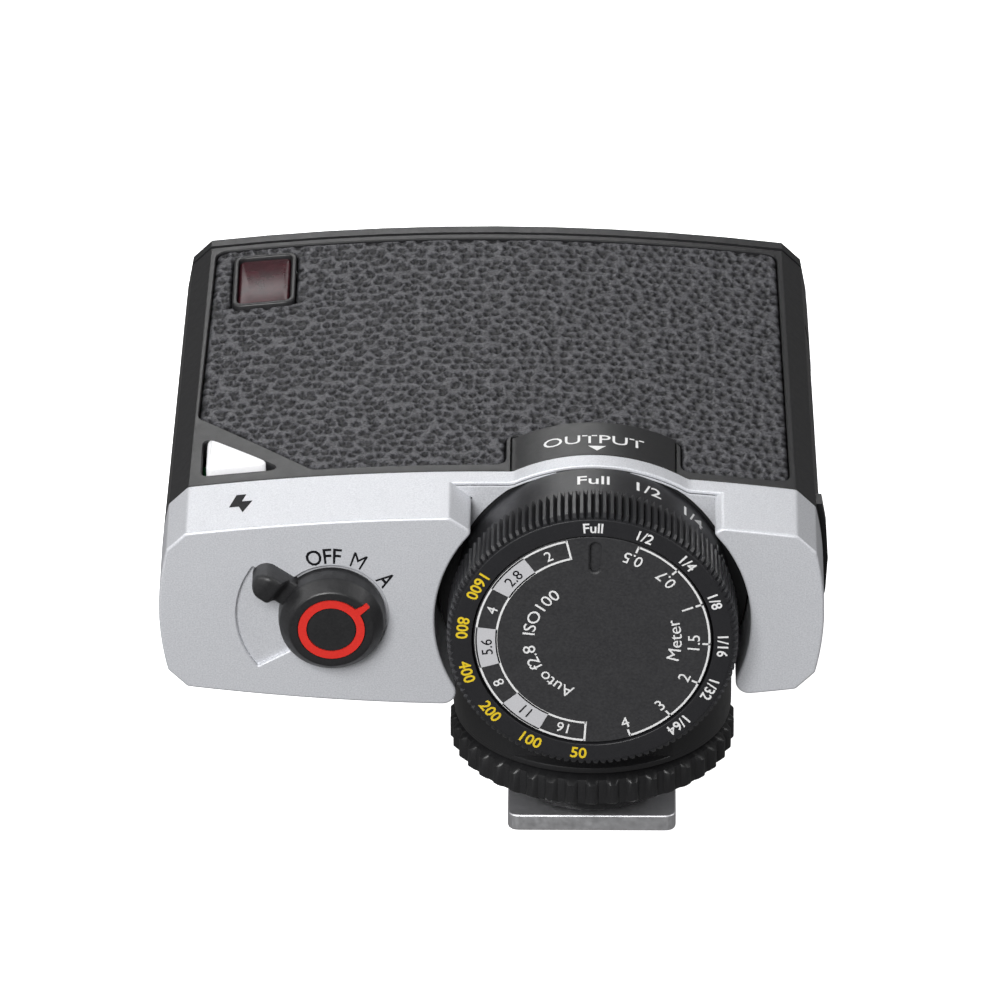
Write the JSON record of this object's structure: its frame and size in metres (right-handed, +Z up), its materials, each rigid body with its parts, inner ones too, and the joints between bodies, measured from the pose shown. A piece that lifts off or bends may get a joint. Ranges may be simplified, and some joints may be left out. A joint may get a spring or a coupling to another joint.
{
  "type": "shoe-mount electronic flash",
  "caption": "Compact camera flash with a shoe foot and lock wheel, an output dial with a calculator disc, a mode switch and a leatherette top.",
  "frame": {"origin": "tip of the foot's centre contact, on the axis of the foot and the lock wheel, 0.5 mm below the foot plate", "axes": "+Z up, from the foot to the case's top; +Y forward, the way the flash fires; +X to the right as seen from behind"},
  "size_m": [0.0726, 0.07, 0.0511],
  "materials": {
    "black_case": "fine moulded texture, satin black",
    "silver_case": "satin silver paint on a moulded cover",
    "leatherette": "black pebble-grained leatherette",
    "dial_black": "satin black with printed scales",
    "disc_black": "fine textured black face with printed scales",
    "knob_black": "satin black",
    "pointer_red": "red paint fill",
    "button_white": "translucent white plastic",
    "window_red": "dark red transparent plastic",
    "clear_optic": "clear plastic or glass",
    "foot_steel": "satin steel",
    "small_steel": "plated steel",
    "reflector_foil": "bright reflector sheet",
    "contact_brass": "gold-coloured plating",
    "inner_plastic": "dark grey moulded plastic",
    "board_green": "solder mask",
    "sleeve_dark": "shrink sleeve, unmarked",
    "copper_wire": "enamelled copper"
  },
  "bodies": {
    "flash_body": {"front_shell": "black_case", "rear_cover": "silver_case", "dial_housing": "black_case", "index_hood": "black_case", "leather_panel": "leatherette", "sensor_bezel": "black_case", "sensor_window": "window_red", "slave_sensor": "inner_plastic", "button_spring": "small_steel", "tact_switch": "inner_plastic", "switch_board": "board_green", "ready_lamp": "clear_optic", "output_encoder": "inner_plastic", "mode_switch": "inner_plastic", "pedestal": "black_case", "foot_stem": "black_case", "foot_plate": "foot_steel", "contact_insulator": "inner_plastic", "contact_spring": "small_steel", "sync_lead": "copper_wire", "door_hinge_pin": "small_steel", "battery_tray": "inner_plastic", "battery_cell_1": "sleeve_dark", "battery_cell_2": "sleeve_dark", "battery_spring_1": "small_steel", "battery_spring_2": "small_steel", "front_bezel": "black_case", "auto_sensor_window": "clear_optic", "auto_sensor": "inner_plastic", "flash_lens": "clear_optic", "reflector": "reflector_foil", "flash_tube": "clear_optic", "main_board": "board_green", "flash_capacitor": "sleeve_dark", "transformer": "copper_wire", "foot_screw_1": "small_steel", "pedestal_screw_1": "small_steel", "foot_screw_2": "small_steel", "pedestal_screw_2": "small_steel", "foot_screw_3": "small_steel", "pedestal_screw_3": "small_steel", "foot_screw_4": "small_steel", "pedestal_screw_4": "small_steel", "case_screw_1": "small_steel", "board_screw_1": "small_steel", "case_screw_2": "small_steel", "board_screw_2": "small_steel"},
    "output_dial": {"output_ring": "dial_black", "dial_clip": "small_steel"},
    "calculator": {"calculator_disc": "disc_black"},
    "mode_selector": {"mode_knob": "knob_black", "mode_pointer": "pointer_red", "mode_shaft": "small_steel"},
    "test_key": {"test_button": "button_white"},
    "pressure_plate": {"pressure_washer": "small_steel"},
    "wheel": {"lock_wheel": "black_case"},
    "door": {"battery_door": "black_case", "door_contact": "contact_brass"},
    "hot_pin": {"contact_pin": "contact_brass"}
  },
  "joints": [
    {"name": "output_dial_turn", "type": "hinge", "parent": "flash_body", "child": "output_dial", "pos_m": [0, -0.02, 0.0354], "axis": [0, -1, 0], "range_deg": [0, 138]},
    {"name": "calculator_turn", "type": "hinge", "parent": "output_dial", "child": "calculator", "pos_m": [0, -0.025, 0.0354], "axis": [0, -1, 0], "continuous": true},
    {"name": "mode_turn", "type": "hinge", "parent": "flash_body", "child": "mode_selector", "pos_m": [-0.0282, -0.023, 0.0362], "axis": [0, -1, 0], "range_deg": [0, 60]},
    {"name": "test_press", "type": "slide", "parent": "flash_body", "child": "test_key", "axis": [0, 0, -1], "range_m": [0, 0.0006], "stiffness_N_per_m": 400, "springref_m": -0.0005, "deforming": ["button_spring"]},
    {"name": "pressure_slide", "type": "slide", "parent": "flash_body", "child": "pressure_plate", "axis": [0, 0, -1], "range_m": [0, 0.0026]},
    {"name": "wheel_turn", "type": "hinge", "parent": "pressure_plate", "child": "wheel", "pos_m": [0, 0, 0.009], "axis": [0, 0, 1], "range_deg": [0, 720]},
    {"name": "door_swing", "type": "hinge", "parent": "flash_body", "child": "door", "pos_m": [0.02301, -0.0047, 0.0286], "axis": [-0.0179, 0.9998, 0], "range_deg": [0, 95]},
    {"name": "pin_press", "type": "slide", "parent": "flash_body", "child": "hot_pin", "axis": [0, 0, 1], "range_m": [0, 0.0005], "stiffness_N_per_m": 300, "springref_m": -0.0005, "deforming": ["contact_spring"]}
  ],
  "couplings": [
    {"joint": "wheel_turn", "follows": "pressure_slide", "rad_per_m": 4833.2}
  ]
}
